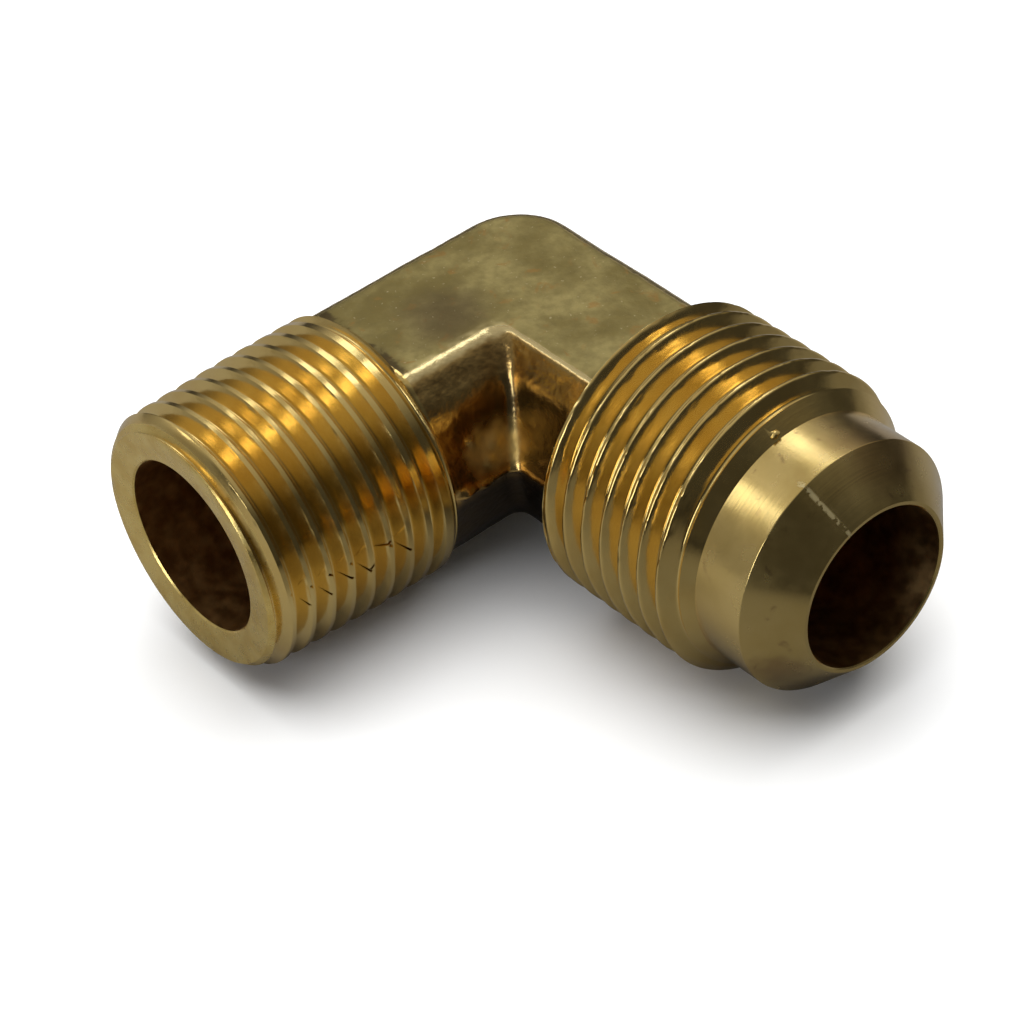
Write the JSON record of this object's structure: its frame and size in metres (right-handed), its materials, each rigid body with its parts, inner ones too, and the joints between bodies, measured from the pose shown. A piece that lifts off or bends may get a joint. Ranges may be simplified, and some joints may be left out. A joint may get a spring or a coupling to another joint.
{
  "type": "flare fitting",
  "caption": "Forged brass 90 degree elbow with a 45 degree male flare on one arm and a male taper pipe thread on the other.",
  "frame": {"origin": "on the upper wrench flat, straight above where the axes of the two bores meet. Both axes are 7.4 mm below it, at z = -7.4 mm, which is also the forging's parting plane", "axes": "+X out along the flare arm, -Y out along the pipe-thread arm, +Z out of the upper wrench flat"},
  "size_m": [0.0391, 0.035, 0.019],
  "materials": {
    "brass": "machined threads and nose, unmachined forged block"
  },
  "bodies": {
    "root": {"elbow_body": "brass"}
  },
  "joints": []
}
